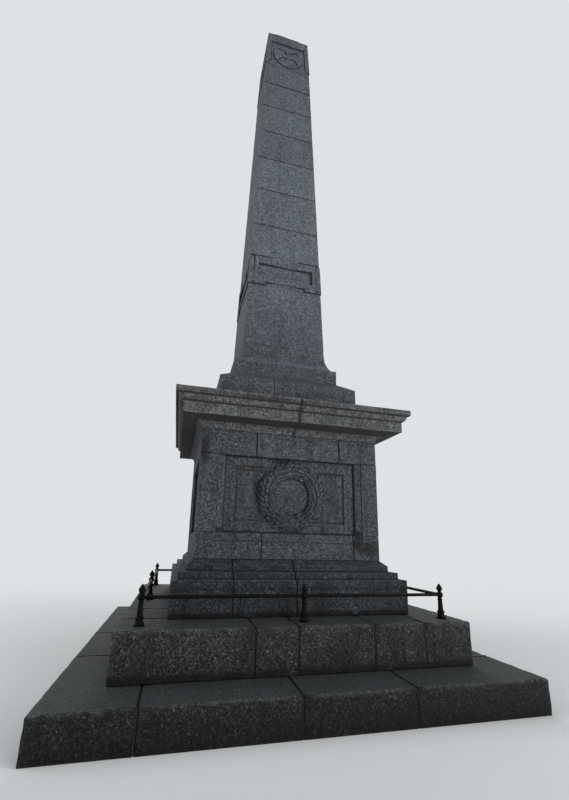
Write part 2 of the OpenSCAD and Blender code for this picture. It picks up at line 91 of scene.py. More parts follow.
def add(tree, kind, inputs=(), **settings):
    """Adds one node, sets its settings, then sets or links each input by name or number."""
    node = tree.nodes.new(kind)
    for name, value in settings.items():
        setattr(node, name, value)
    for name, value in dict(inputs).items():
        if isinstance(value, bpy.types.NodeSocket):
            tree.links.new(value, node.inputs[name])
        else:
            node.inputs[name].default_value = value
    return node


def new_material(name):
    """An empty node tree with its output node; returns the material, the tree and the output."""
    material = bpy.data.materials.new(name)
    material.use_nodes = True
    material.node_tree.nodes.clear()
    return material, material.node_tree, add(material.node_tree, "ShaderNodeOutputMaterial")


print("mid grey #808080 is", round(rgb("#808080")[0], 3), "in linear light")

# %% Helpers for meshes
def read(items, name, width=1, kind=float):
    """One property of all items of a mesh, as an array with one row for each item."""
    values = np.empty(len(items) * width, kind)
    items.foreach_get(name, values)
    return values.reshape(-1, width) if width > 1 else values


def mesh_piece(name, points, corners, sizes, material, slot, smooth=True, **marks):
    """Makes a piece from points, the points at its faces' corners and the faces' sizes. Each mark is a value
    for every point or every face. The piece rides on "root", the one body."""
    mesh = bpy.data.meshes.new(name)
    mesh.vertices.add(len(points))
    mesh.vertices.foreach_set("co", np.asarray(points, float).ravel())
    mesh.loops.add(sum(sizes))
    mesh.loops.foreach_set("vertex_index", np.asarray(corners, int).ravel())
    mesh.polygons.add(len(sizes))
    mesh.polygons.foreach_set("loop_start", np.concatenate([[0], np.cumsum(sizes)[:-1]]))
    mesh.polygons.foreach_set("use_smooth", np.full(len(sizes), smooth))
    for mark, values in marks.items():
        domain = "POINT" if len(values) == len(points) else "FACE"
        mesh.attributes.new(mark, "FLOAT", domain).data.foreach_set("value", np.asarray(values, float))
    mesh.update(calc_edges=True)
    mesh.validate()
    mesh.materials.append(material)
    piece = bpy.data.objects.new(name, mesh)
    bpy.context.scene.collection.objects.link(piece)
    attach(piece, "root")
    print(f"{name}: {len(points)} points, {len(sizes)} faces")
    return piece


print("triangles in the cap stone as packed:", len(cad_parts["cap_stone"].data.polygons))

# %% [markdown]
# ## Floor, light and background
# A plain pale floor keeps the shadow of the steps. Further out it turns slowly
# into the colour of the background, so no horizon crosses the picture. Most
# light comes from a wide lamp that lies in front and shines upwards, so the
# undersides of the cornice stay clear, helped by a pale tint painted on the
# soffit as light from below, and the shaft grows paler with height, helped by
# its darker tint near the ground. Soft lamps light the sides, and an even world
# fills the shadows.

# %% Floor
PALE = rgb("#dfe2e4")  # the background
FLOOR_RINGS = (0.0, 4.0, 8.0, 16.0, 32.0, 90.0)  # m, the radii of the floor's rings of points
FLOOR_TURNS = 64  # points round a ring
FLOOR_Z = -0.001  # m, a hair below the bottom step
FLOOR_FADE = (5.0, 16.0)  # m from the middle, where the floor starts and ends its turn into the background


def floor_material():
    """Matt pale floor whose far part shows the background colour to the camera."""
    material, tree, out = new_material("studio_floor")
    matt = add(tree, "ShaderNodeBsdfDiffuse", {"Color": rgb("#d3d4d3"), "Roughness": 0.6})
    glow = add(tree, "ShaderNodeEmission", {"Color": PALE, "Strength": 1.0})
    where = add(tree, "ShaderNodeTexCoord")
    reach = add(tree, "ShaderNodeVectorMath", {0: where.outputs["Object"]}, operation="LENGTH")
    far = add(tree, "ShaderNodeMapRange", {"Value": reach.outputs["Value"], "From Min": FLOOR_FADE[0],
                                           "From Max": FLOOR_FADE[1]}, interpolation_type="SMOOTHSTEP")
    path = add(tree, "ShaderNodeLightPath")
    seen = add(tree, "ShaderNodeMath", {0: path.outputs["Is Camera Ray"], 1: path.outputs["Is Glossy Ray"]},
               operation="MAXIMUM")
    part = add(tree, "ShaderNodeMath", {0: seen.outputs[0], 1: far.outputs["Result"]}, operation="MULTIPLY")
    mix = add(tree, "ShaderNodeMixShader", {0: part.outputs[0], 1: matt.outputs[0], 2: glow.outputs[0]})
    tree.links.new(mix.outputs[0], out.inputs["Surface"])
    return material


def floor_disc():
    """A flat disc: rings of points at radius r and angle a, at x = r cos a, y = r sin a."""
    r, a = np.meshgrid(FLOOR_RINGS, np.linspace(0, 2 * pi, FLOOR_TURNS, endpoint=False), indexing="ij")
    points = np.stack([r * np.cos(a), r * np.sin(a), np.full_like(r, FLOOR_Z)], -1).reshape(-1, 3)
    ring, turn = np.meshgrid(np.arange(len(FLOOR_RINGS) - 1), np.arange(FLOOR_TURNS), indexing="ij")
    this, following = ring * FLOOR_TURNS + turn, ring * FLOOR_TURNS + (turn + 1) % FLOOR_TURNS
    faces = np.stack([this, this + FLOOR_TURNS, following + FLOOR_TURNS, following], -1).reshape(-1, 4)
    mesh = bpy.data.meshes.new("studio_floor")
    mesh.from_pydata(points.tolist(), [], faces.tolist())
    mesh.materials.append(floor_material())
    disc = bpy.data.objects.new("studio_floor", mesh)
    bpy.context.scene.collection.objects.link(disc)


floor_disc()
print("floor:", 2 * FLOOR_RINGS[-1], "m across")

# %% World
def studio_world(strength=0.66):
    """An even pale world for light, and the plain background colour for the camera."""
    world = bpy.data.worlds.new("studio")
    world.use_nodes = True
    tree = world.node_tree
    tree.nodes.clear()
    out = add(tree, "ShaderNodeOutputWorld")
    lit = add(tree, "ShaderNodeBackground", {"Color": rgb("#f0f4fa"), "Strength": strength})
    seen = add(tree, "ShaderNodeBackground", {"Color": PALE, "Strength": 1.0})
    path = add(tree, "ShaderNodeLightPath")
    direct = add(tree, "ShaderNodeMath", {0: path.outputs["Is Camera Ray"],
                                          1: path.outputs["Is Glossy Ray"]}, operation="MAXIMUM")
    mix = add(tree, "ShaderNodeMixShader", {0: direct.outputs[0], 1: lit.outputs[0], 2: seen.outputs[0]})
    tree.links.new(mix.outputs[0], out.inputs["Surface"])
    bpy.context.scene.world = world
    print("world: strength", strength)


studio_world()
bpy.context.scene.view_settings.view_transform = "Standard"

# %% Lamps
SHAFT_MIDDLE, STRAIGHT_UP = (0.0, 0.0, 4.5), (3.0, -10.5, 9.0)  # m, where the lamps aim
LAMPS = {  # name: (place, size in metres, watts, where it is aimed)
    "lamp_left": ((-15.0, 1.0, 9.0), 8.0, 1150, SHAFT_MIDDLE),
    "lamp_right": ((13.0, -9.0, 8.0), 6.0, 700, SHAFT_MIDDLE),
    "lamp_behind": ((3.0, 15.0, 12.0), 10.0, 1700, SHAFT_MIDDLE),
    "lamp_low": ((8.0, -14.0, 3.6), 5.0, 500, SHAFT_MIDDLE),
    "lamp_on_floor": ((3.0, -10.5, 0.05), 8.0, 2300, STRAIGHT_UP),
}


def add_lamp(name, place, size, watts, aim):
    """A square soft lamp whose -Z axis points from its place to the aim."""
    data = bpy.data.lights.new(name, "AREA")
    data.size, data.energy = size, watts
    lamp = bpy.data.objects.new(name, data)
    lamp.location = place
    lamp.rotation_euler = (Vector(aim) - Vector(place)).to_track_quat("-Z", "Y").to_euler()
    bpy.context.scene.collection.objects.link(lamp)


for name, settings in LAMPS.items():
    add_lamp(name, *settings)
print("lamps:", ", ".join(LAMPS))

# %% [markdown]
# ## Weathered granite
# Granite is an interlocked mass of pale feldspar, grey quartz and black mica.
# Here it was fine-axed, which leaves it matt and slightly rough. One noise
# would give it soft clouds, but grains have edges, so Voronoi cells are used:
# one cell is one grain. Real grains are 2 to 5 mm wide and would blur to one
# grey at this distance, so they are drawn 10 mm wide, mixed with loose clusters
# of 24 mm, and long feldspar crystals are scattered over them.

# %% Grains and crystals
GRAIN_MM, CLUSTER_MM, CRYSTAL_MM = 10.0, 24.0, 20.0
WAVE_MM, PUSH_MM = 8.0, 14.0  # how far apart and how strong the pushes are that fray the grains' edges
GRAIN_STEPS = (0.05, 0.5, 1.0)  # where the dark, mid and pale tone stand among the grains' random values
NUDGE = 7.3  # m, moves the single grains away from the clusters' pattern
LENGTHEN = (3.2, 1.0, 1.0)  # a crystal is 3.2 times as long as it is wide
SHOWN_FROM = 0.76  # cells whose random value is over this hold a crystal
RADIUS = 0.40  # in parts of a cell, the radius of the largest crystal


def jostled(tree, here):
    """The place, pushed about by a noise of a few millimetres, which frays the straight edges of cells."""
    noise = add(tree, "ShaderNodeTexNoise", {"Vector": here, "Scale": 1000 / WAVE_MM, "Detail": 2.0})
    push = add(tree, "ShaderNodeVectorMath", {0: noise.outputs["Color"], 1: (0.5, 0.5, 0.5)},
               operation="SUBTRACT")
    return add(tree, "ShaderNodeVectorMath", {0: push.outputs[0], 1: (PUSH_MM / 1000,) * 3, 2: here},
               operation="MULTIPLY_ADD").outputs[0]


def grains(tree, here, size_mm, nudge, tones):
    """Cells as wide as one grain. Each cell's own random value picks its tone, dark through mid to pale."""
    moved = add(tree, "ShaderNodeMapping", {"Vector": here, "Location": (nudge, nudge, nudge)})
    cells = add(tree, "ShaderNodeTexVoronoi", {"Vector": moved.outputs[0], "Scale": 1000 / size_mm})
    shade = add(tree, "ShaderNodeSeparateColor", {0: cells.outputs["Color"]}).outputs[0]
    tint = add(tree, "ShaderNodeValToRGB", {"Fac": shade})
    tint.color_ramp.elements.new(0.5)
    for element, tone, place in zip(tint.color_ramp.elements, tones, GRAIN_STEPS):
        element.color, element.position = rgb(tone), place
    return shade, tint.outputs[0]


def crystals(tree, here, turn):
    """Cells stretched along one turned axis. A quarter of them show, each out to its own radius: the value
    is that radius less the distance from the cell's middle."""
    spun = add(tree, "ShaderNodeMapping", {"Vector": here, "Rotation": turn, "Scale": LENGTHEN},
               vector_type="TEXTURE")
    cells = add(tree, "ShaderNodeTexVoronoi", {"Vector": spun.outputs[0], "Scale": 1000 / CRYSTAL_MM})
    rare = add(tree, "ShaderNodeSeparateColor", {0: cells.outputs["Color"]}).outputs[1]
    size = add(tree, "ShaderNodeMapRange", {"Value": rare, "From Min": SHOWN_FROM, "To Max": RADIUS})
    return add(tree, "ShaderNodeMath", {0: size.outputs["Result"], 1: cells.outputs["Distance"]},
               operation="SUBTRACT").outputs[0]


print("grain, cluster and crystal:", GRAIN_MM, CLUSTER_MM, CRYSTAL_MM, "mm")

# %% [markdown]
# ## Rain, dirt and painted light
# Rain leaves dark streaks, dirt and painted shade lie in every hollow, treads are
# paler from wear and painted sunlight, the stone near the ground is mossy and
# darker, from wet and on the steps from painted shadow, the soffit is painted
# pale as light from below, and each block has its own slight tone.
# Painting this by hand would tie it to one view, so it comes from masks: values
# from 0 to 1 that are read from the height, from the way a face points, from
# noises, and from the marks that the stones' meshes carry.

# %% Noises for the masks
PATCH_MM = 1000 / 11  # eleven patches to the metre
BLOTCH_MM = 5 * PATCH_MM  # broad blotches of nearly half a metre
STREAK_MM = (1000 / 7, 1000 / 7, 1250)  # seven streaks to the metre, nine times as tall as they are wide


def noises(tree, here):
    """Three noises over the stone: broad blotches, small patches and tall streaks."""
    blotch = add(tree, "ShaderNodeTexNoise", {"Vector": here, "Scale": 1000 / BLOTCH_MM, "Detail": 4.0,
                                              "Roughness": 0.6})
    patch = add(tree, "ShaderNodeTexNoise", {"Vector": here, "Scale": 1000 / PATCH_MM, "Detail": 3.0})
    tall = add(tree, "ShaderNodeMapping", {"Vector": here, "Scale": [1000 / mm for mm in STREAK_MM]})
    streak = add(tree, "ShaderNodeTexNoise", {"Vector": tall.outputs[0], "Scale": 1.0, "Detail": 5.0})
    return blotch.outputs[0], patch.outputs[0], streak.outputs[0]


print("blotch, patch and streak:", round(BLOTCH_MM), round(PATCH_MM), round(STREAK_MM[0]), "mm wide")

# %% Masks
MARKS = ("tone", "joint", "edge", "hollow")  # the marks that the stones' meshes carry
RANGE = ("Value", "From Min", "From Max", "To Min", "To Max")  # the inputs of a Map Range node, as a row
RAGGED = 0.4  # m, how far the streaks push the upper edge of the darkening near the ground about
RIM = 1.1  # reaches, how far the patches push the rim of a stain about


def weather(tree, here, stain=0.5, blotches=0.35, moss=0.0, grime=0.60, damp=0.0, damp_top=0.5, soffit=0.0):
    """The masks by name. Each maps a value from low..high to start..end and holds the ends. Stain, blotches,
    moss, the dirt and painted shade in hollows, and the darkening near the ground say how strongly each
    shows.
    The darkening near the ground, wet and on the steps painted shadow, fades out at a ragged level, the given
    top height in metres up. The underside at the soffit level is painted pale, as light from below."""
    blotch, patch, streak = noises(tree, here)
    normal = add(tree, "ShaderNodeNewGeometry").outputs["Normal"]
    up = add(tree, "ShaderNodeSeparateXYZ", {0: normal}).outputs["Z"]
    lean = add(tree, "ShaderNodeMath", {0: up}, operation="ABSOLUTE").outputs[0]
    height = add(tree, "ShaderNodeSeparateXYZ", {0: here}).outputs["Z"]
    rise = add(tree, "ShaderNodeMath", {0: height, 1: soffit}, operation="SUBTRACT").outputs[0]
    off_soffit = add(tree, "ShaderNodeMath", {0: rise}, operation="ABSOLUTE").outputs[0]
    ragged = add(tree, "ShaderNodeMath", {0: streak, 1: RAGGED, 2: height},
                 operation="MULTIPLY_ADD").outputs[0]
    tone, joint, edge, hollow = [add(tree, "ShaderNodeAttribute", attribute_name=mark).outputs["Fac"]
                                 for mark in MARKS]
    rows = (  # name, value, low, high, start, end
        ("blotched", blotch, 0.40, 0.62, 0.0, blotches),
        ("patched", patch, 0.50, 0.70, 0.0, 0.25),
        ("block", tone, 0.0, 1.0, 0.0, 0.30),  # each block's own tone
        ("upright", lean, 0.3, 0.6, 1.0, 0.0),  # walls
        ("streaked", streak, 0.50, 0.66, 0.0, stain),
        # Tops are painted paler with the tread tint, as wear and as painted sunlight.
        ("level", up, 0.80, 0.97, 0.0, 1.0),  # treads and ledges
        ("wear_and_light_share", patch, 0.30, 0.60, 0.42, 0.58),
        # The soffit is painted pale as light from below: flat undersides at the soffit level.
        ("under", up, -0.999, -0.985, 0.95, 0.0),  # flat undersides
        ("at_soffit_level", off_soffit, 0.02, 0.04, 1.0, 0.0),  # within 20 mm of the soffit level
        ("damp", ragged, 0.2, damp_top + 0.2, damp, 0.0),
        ("mossy", blotch, 0.42, 0.60, 0.0, moss),
        ("arris", edge, 0.6, 1.0, 0.0, 1.0),
        ("rubbed", patch, 0.40, 0.70, 0.0, 0.22),
        ("pointed", patch, 0.3, 0.7, 1.0, 0.85),  # how full a joint is
        ("hollow", hollow, 0.12, 0.60, 0.0, 1.0),
        ("grimed", patch, 0.3, 0.65, 0.95, grime))  # how much dirt and painted shade a hollow holds
    masks = {name: add(tree, "ShaderNodeMapRange", dict(zip(RANGE, row))).outputs["Result"]
             for name, *row in rows}
    return masks | {"joint": joint, "patch": patch}


def spot(tree, here, patch, middle, reach):
    """A stain with a ragged rim: d is the distance from its middle in parts of its reach, plus RIM * patch.
    The mask is 0.8 where d is under 0.9, and fades to 0 at d = 1.5."""
    off = add(tree, "ShaderNodeVectorMath", {0: here, 1: middle}, operation="SUBTRACT").outputs[0]
    off = add(tree, "ShaderNodeVectorMath", {0: off, 1: reach}, operation="DIVIDE").outputs[0]
    off = add(tree, "ShaderNodeVectorMath", {0: off}, operation="LENGTH").outputs["Value"]
    off = add(tree, "ShaderNodeMath", {0: patch, 1: RIM, 2: off}, operation="MULTIPLY_ADD").outputs[0]
    return add(tree, "ShaderNodeMapRange", dict(zip(RANGE, (off, 0.9, 1.5, 0.8, 0.0)))).outputs["Result"]


print("marks on the stones:", ", ".join(MARKS))

# %% Granite
UNDER, OVER, MIXED = 6, 7, 2  # the colour inputs and the colour output of a Mix node
TURNS = {"crystal": (0.3, 0.9, 0.6), "other": (0.8, -0.5, 2.1)}  # radians, the two ways that crystals lie
AXE_MM = 14.0  # a dent of the axe, which is really about 5 mm wide, drawn wider so that it shows


def lay(tree, colour, masks, layers):
    """Lays each tone over the colour so far, by the product of the masks that its layer names."""
    for blend, tint, *names in layers:
        part = masks[names[0]]
        for other in names[1:]:
            part = add(tree, "ShaderNodeMath", {0: part, 1: masks[other]}, operation="MULTIPLY").outputs[0]
        colour = add(tree, "ShaderNodeMix", {0: part, UNDER: colour, OVER: rgb(tint)}, data_type="RGBA",
                     blend_type=blend).outputs[MIXED]
    return colour


def granite(name, tones, crystal="#7b7f83", tread="#5c6164", shadow="#0b0d10", fine=0.72, spots=(),
            **marks_of_age):
    """Fine-axed granite: the fine share of single grains over clusters, then crystals, weather, stains, and
    dirt with painted shade. Tops take the tread tint, wear with painted sunlight, and the soffit a pale tint,
    painted light from below. A spot is a stain: its middle, its reach in metres and its tone."""
    material, tree, out = new_material(name)
    here = add(tree, "ShaderNodeTexCoord").outputs["Object"]
    frayed = jostled(tree, here)
    _, coarse = grains(tree, frayed, CLUSTER_MM, 0.0, tones)
    single, small = grains(tree, frayed, GRAIN_MM, NUDGE, tones)
    masks = weather(tree, here, **marks_of_age)
    for mask, turn in TURNS.items():
        row = (crystals(tree, frayed, turn), 0.0, 0.08, 0.0, 0.7)
        masks[mask] = add(tree, "ShaderNodeMapRange", dict(zip(RANGE, row))).outputs["Result"]
    layers = [  # how it is laid, its tone, and its masks
        ("MIX", crystal, "crystal"), ("MIX", crystal, "other"),
        ("MULTIPLY", "#c4c4c4", "blotched"), ("MULTIPLY", "#a9a69c", "patched"),
        ("MULTIPLY", "#aeb0b4", "block"), ("MULTIPLY", "#9fa2a2", "upright", "streaked"),
        # The tread tint on tops is wear and painted sunlight; the pale tint on the soffit is painted light
        # from below.
        ("MIX", tread, "level", "wear_and_light_share"), ("MIX", "#d0cdc8", "under", "at_soffit_level"),
        # Walls grow darker near the ground: wet, and on the steps painted shadow.
        ("MULTIPLY", "#8f918f", "upright", "damp"), ("MULTIPLY", "#aeb29f", "mossy"),
        ("MIX", "#686d70", "arris", "rubbed")]
    for number, (middle, reach, stain_tone) in enumerate(spots):
        masks[f"spot {number}"] = spot(tree, here, masks["patch"], middle, reach)
        layers.append(("MULTIPLY", stain_tone, f"spot {number}"))
    # Dirt and painted shade in the hollows, then the dark joints, both in the shadow tone.
    layers += [("MIX", shadow, "hollow", "grimed"), ("MIX", shadow, "joint", "pointed")]
    speckled = add(tree, "ShaderNodeMix", {0: fine, UNDER: coarse, OVER: small}, data_type="RGBA")
    colour = lay(tree, speckled.outputs[MIXED], masks, layers)
    axed = add(tree, "ShaderNodeTexNoise", {"Vector": here, "Scale": 1000 / AXE_MM, "Detail": 4.0,
                                            "Roughness": 0.7})
    bump = add(tree, "ShaderNodeBump", {"Height": axed.outputs[0], "Strength": 0.6, "Distance": 0.008})
    pits = add(tree, "ShaderNodeBump", {"Height": masks["patch"], "Strength": 0.5, "Distance": 0.012,
                                        "Normal": bump.outputs[0]})
    # The darkest grains are mica, which keeps some shine. The others are rougher, by their own random value.
    row = (single, 0.0, 0.4, 0.60, 0.88)
    rough = add(tree, "ShaderNodeMapRange", dict(zip(RANGE, row))).outputs["Result"]
    # A polished face would have the full specular level. An axed and weathered one scatters most of it.
    skin = add(tree, "ShaderNodeBsdfPrincipled", {"Base Color": colour, "Roughness": rough, "IOR": 1.54,
                                                  "Specular IOR Level": 0.2, "Normal": pits.outputs[0]})
    tree.links.new(skin.outputs[0], out.inputs["Surface"])
    print(f"{name}: {len(tree.nodes)} nodes, {len(layers)} layers")
    return material


# %% [markdown]
# ## Five granites
# The stone is one kind, but its age differs, and its tones are set as it looks in
# shade, with a little of the sky's blue, darker towards the ground as painted shade:
# the shaft is clean and pale, the pedestal stained, the cornice rubbed by rain
# above and painted pale below as light from below, the base course darker near
# its foot, and the steps dark with feet and water and with painted shadow.

# %% The granites
SOFFIT = 2.95  # m, the level of the flat underside of the cornice
TABLETS = (((0.0, 0.0, 5.62), (1.2, 1.2, 0.10), "#dcdfe6"),)  # the band's tablets are a little darker
STAINS = (  # middle, reach and tone of the stains on the pedestal, in metres
    ((0.0, -1.40, 2.98), (0.045, 0.5, 0.38), "#6c6f73"),
    ((0.84, -1.14, 1.55), (0.09, 0.2, 0.17), "#4c4e50"),
    ((1.00, -1.14, 1.49), (0.20, 0.2, 0.12), "#5d6063"),
    ((-1.10, -1.14, 2.60), (0.10, 0.3, 0.35), "#6e7176"),
    ((-0.52, -1.08, 2.43), (0.30, 0.1, 0.026), "#98705c"),
    ((0.50, -1.08, 2.40), (0.24, 0.1, 0.018), "#94766a"),
    ((-0.15, -1.10, 2.52), (0.24, 0.2, 0.05), "#5d5f64"),
    ((-0.40, -1.45, 3.19), (1.1, 0.2, 0.035), "#a48d82"),
    # The last one darkens the stone just left of the wreath's ring.
    ((-0.45, -1.12, 2.18), (0.07, 0.12, 0.24), "#858b94"))
# The shaft's darkening near the ground is 1.9 at the ground, has fallen to 0.9 where the shaft starts, and
# ends at the band.
# The five tones follow the stone as it looks in shade, with a little of the sky's blue, and darker towards
# the ground: painted shade as well as age.
SHAFT = granite("fine_axed_granite_shaft", ("#23282f", "#434952", "#75797d"), stain=0.3, blotches=0.2,
                damp=1.9, damp_top=5.8, grime=0.90, spots=TABLETS)
PEDESTAL = granite("fine_axed_granite_pedestal", ("#13171b", "#2e3439", "#5e6163"), crystal="#74787c",
                   spots=STAINS)
# The cornice's soffit is painted pale, as light from below.
CORNICE = granite("fine_axed_granite_cornice", ("#181b1d", "#383c3f", "#6c6c6b"), crystal="#76797c",
                  soffit=SOFFIT, spots=STAINS)
BASE = granite("fine_axed_granite_base", ("#090b0d", "#1e2327", "#4c5053"), crystal="#64676a",
               tread="#343b42", shadow="#08090b", damp=0.5, stain=0.7, moss=0.15, fine=0.8)
# On the steps the darkening near the ground is painted shadow as well as wet.
STEPS = granite("axed_granite_steps", ("#080909", "#1e2121", "#545653"), crystal="#74746c",
                tread="#353a3d", shadow="#08090b", damp=1.0, stain=0.7, moss=0.2, fine=0.88)

# %% [markdown]
# ## Mortar, hearting and iron
# Joints were pointed with a dark lime mortar that has weathered back behind the
# faces. Behind the facing lies a rough hearting that nobody sees. The railing
# is sand-cast iron under many coats of black paint: soft highlights, a faint
# orange-peel skin, and rust where the paint has broken. Its posts and rails
# have the right shape as they are packed, so they only change their material.

# %% Mortar and hearting
GRIT_MM = 25 / 3  # three grains of grit to 25 mm, coarser than real sand so that they show


def lime_mortar(name, tone, grain):
    """Dark gritty mortar: noise from one tone to another, matt, with a sandy bump."""
    material, tree, out = new_material(name)
    here = add(tree, "ShaderNodeTexCoord").outputs["Object"]
    grit = add(tree, "ShaderNodeTexNoise", {"Vector": here, "Scale": 1000 / GRIT_MM, "Detail": 3.0})
    tint = add(tree, "ShaderNodeValToRGB", {"Fac": grit.outputs["Fac"]})
    tint.color_ramp.elements[0].color = rgb(tone)
    tint.color_ramp.elements[1].color = rgb(grain)
    bump = add(tree, "ShaderNodeBump", {"Height": grit.outputs["Fac"], "Strength": 0.6, "Distance": 0.003})
    skin = add(tree, "ShaderNodeBsdfPrincipled", {"Base Color": tint.outputs[0], "Roughness": 0.95,
                                                  "Normal": bump.outputs[0]})
    tree.links.new(skin.outputs[0], out.inputs["Surface"])
    return material


MORTAR = lime_mortar("weathered_lime_mortar", "#0a0b0d", "#25272a")
HEARTING = lime_mortar("rubble_and_mortar_hearting", "#2a2b2a", "#3c3c39")
print("made:", MORTAR.name, "and", HEARTING.name)

# %% Iron
PEEL_MM = 9.0  # the dimples of thick paint, drawn about three times as wide as real so that they show
RUST_MM = 60.0  # the noise that rust blooms are cut from


def painted_iron(name):
    """Black oil paint on sand-cast iron, with small rust blooms where it has chipped."""
    material, tree, out = new_material(name)
    here = add(tree, "ShaderNodeTexCoord").outputs["Object"]
    peel = add(tree, "ShaderNodeTexNoise", {"Vector": here, "Scale": 1000 / PEEL_MM, "Detail": 3.0})
    bloom = add(tree, "ShaderNodeTexNoise", {"Vector": here, "Scale": 1000 / RUST_MM, "Detail": 6.0,
                                             "Roughness": 0.7})
    rusty = add(tree, "ShaderNodeMapRange", {"Value": bloom.outputs["Fac"], "From Min": 0.64,
                                             "From Max": 0.72}).outputs["Result"]
    tint = add(tree, "ShaderNodeValToRGB", {"Fac": rusty})
    tint.color_ramp.elements[0].color = rgb("#050608")
    tint.color_ramp.elements[1].color = rgb("#3a241a")
    matt = add(tree, "ShaderNodeMapRange", {"Value": rusty, "To Min": 0.5, "To Max": 0.85})
    bump = add(tree, "ShaderNodeBump", {"Height": peel.outputs["Fac"], "Strength": 0.35, "Distance": 0.002})
    # Old chalked paint has lost its shine, so its specular level is low.
    skin = add(tree, "ShaderNodeBsdfPrincipled", {
        "Base Color": tint.outputs[0], "Roughness": matt.outputs["Result"], "IOR": 1.45,
        "Specular IOR Level": 0.08, "Normal": bump.outputs[0]})
    tree.links.new(skin.outputs[0], out.inputs["Surface"])
    return material


IRON = painted_iron("black_painted_cast_iron")
print("made:", IRON.name)

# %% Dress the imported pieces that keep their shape
def dress(material, *names):
    """Gives a CAD node its material in place of the plain one."""
    for name in names:
        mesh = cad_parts[name].data
        mesh.materials.clear()
        mesh.materials.append(material)
    print(material.name, "on", ", ".join(names))


dress(HEARTING, "steps_core", "pedestal_core")
dress(IRON, "railing_corner_posts", "railing_middle_posts", "railing_rails")

# %% [markdown]
# ## Worn stones
# A real block has no knife edge. Its arrises are rounded by weather and feet
# and chipped here and there, and a narrow joint parts it from its neighbour.
# Each course of the model is copied and split into its blocks. Each block is
# drawn in by half a joint, its long outer edges are bevelled, its faces are
# cut into cells, and the points of the cells wander in by a few millimetres.
# Inner edges are marked as hollows, where rain leaves its dirt and painted shade is laid.

# %% Split a course into its blocks
GRID = 2e4  # steps a metre: points in the same 0.05 mm are one point
OFF_GRID = 0.21  # of a step, so that no round size lies where the rounding turns
TOP_SKIN = 0.005  # m, points this far below the highest still belong to the top


def blocks_of(node):
    """The points and triangles of each closed block in a CAD node. A block is closed where every edge so far
    has met its opposite, so a running count of open edges is zero."""
    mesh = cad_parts[node].data
    points, corner = read(mesh.vertices, "co", 3), read(mesh.loops, "vertex_index", 1, int)
    on_grid = np.round(points * GRID + OFF_GRID).astype(np.int64)
    unique, which = np.unique(on_grid, axis=0, return_inverse=True)
    unique = (unique - OFF_GRID) / GRID
    triangles = which.reshape(-1)[corner.reshape(-1, 3)]
    triangles = triangles[(triangles != np.roll(triangles, 1, 1)).all(1)]
    pairs = np.stack([triangles, np.roll(triangles, -1, 1)], -1).reshape(-1, 2)
    owner = np.repeat(np.arange(len(triangles)), 3)
    key = pairs.min(1) * len(unique) + pairs.max(1)
    halves = []
    for turn in (pairs[:, 0] < pairs[:, 1], pairs[:, 0] > pairs[:, 1]):
        order = np.argsort(key[turn], kind="stable")
        halves.append((key[turn][order], owner[turn][order]))
    if len(halves[0][0]) != len(halves[1][0]) or (halves[0][0] != halves[1][0]).any():
        print("  ", node, "is kept as one block")
        return [(unique, triangles)]
    first, last = np.minimum(halves[0][1], halves[1][1]), np.maximum(halves[0][1], halves[1][1])
    open_edges = np.zeros(len(triangles) + 1)
    np.add.at(open_edges, first, 1)
    np.add.at(open_edges, last, -1)
    ends = np.flatnonzero(np.cumsum(open_edges)[:-1] == 0) + 1
    return [(unique, part) for part in np.split(triangles, ends[:-1])]


def box_of(block):
    """The lowest and highest corner of a block."""
    points = block[0][block[1]]
    return points.min((0, 1)), points.max((0, 1))


def flat_top(block):
    """The two far corners in plan of a block's flat top, and its level."""
    points = block[0][np.unique(block[1])]
    top = points[points[:, 2] > points[:, 2].max() - TOP_SKIN]
    return top[:, :2].min(0), top[:, :2].max(0), top[:, 2].max()


STONE_NODES = [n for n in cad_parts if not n.startswith("railing") and not n.endswith("_core")]
BLOCKS = {(node, i): block for node in STONE_NODES for i, block in enumerate(blocks_of(node))}
BOXES = {key: box_of(block) for key, block in BLOCKS.items()}
LEDGES = {key: flat_top(block) for key, block in BLOCKS.items()}
PANEL_Y = BOXES["die_panel_back", 0][1][1]  # m, how far a sunk panel's plain face is from the middle
BOXES["die_panel_front", 0][0][1] = -PANEL_Y  # without the wreath, which stands in front of it
print("blocks:", len(BLOCKS), "in", len(STONE_NODES), "nodes")

# %% [markdown]
# ## Uneven wear
# A random number for each point would make the stone look like sandpaper. Wear
# runs smoothly along a stone, a little more here and a little less there, so it
# follows a smooth made-up noise that gives the same value each time it is run.

# %% Wander: a smooth made-up noise
rng = np.random.default_rng(1920)
RIPPLES = np.array([9.0, 26.0, 60.0])  # radians a metre along each axis: waves of about 44, 15 and 7 cm
WAVE_COUNT = 24
WAVES = rng.normal(size=(len(RIPPLES), WAVE_COUNT, 3)) * RIPPLES[:, None, None]
PHASES = rng.uniform(0, 2 * pi, (len(RIPPLES), WAVE_COUNT))


def wander(points, octave=0):
    """A smooth value, mostly from -1 to 1: a fifth of the sum of 24 sine waves in random directions."""
    return np.sin(points @ WAVES[octave].T + PHASES[octave]).sum(1) / 5.0


sample = wander(BLOCKS["cap_stone", 0][0], 1)
print("wander over the cap stone: from", round(sample.min(), 2), "to", round(sample.max(), 2))

# %% Cut and soften one block
FLAT = radians(0.6)  # two faces that turn less than this are one
SHARP = radians(24)  # two faces that turn more than this meet at an edge
HOLLOW_LINE = 0.014  # m, half the width of the line of dirt and painted shade along an inner edge
LEDGE_HOLLOW_LINE = 0.020  # m, height of the dirt and painted shade on a wall above a ledge
FEW = 12  # inner edges at up to this many places along an axis get a line of dirt and painted shade of their own


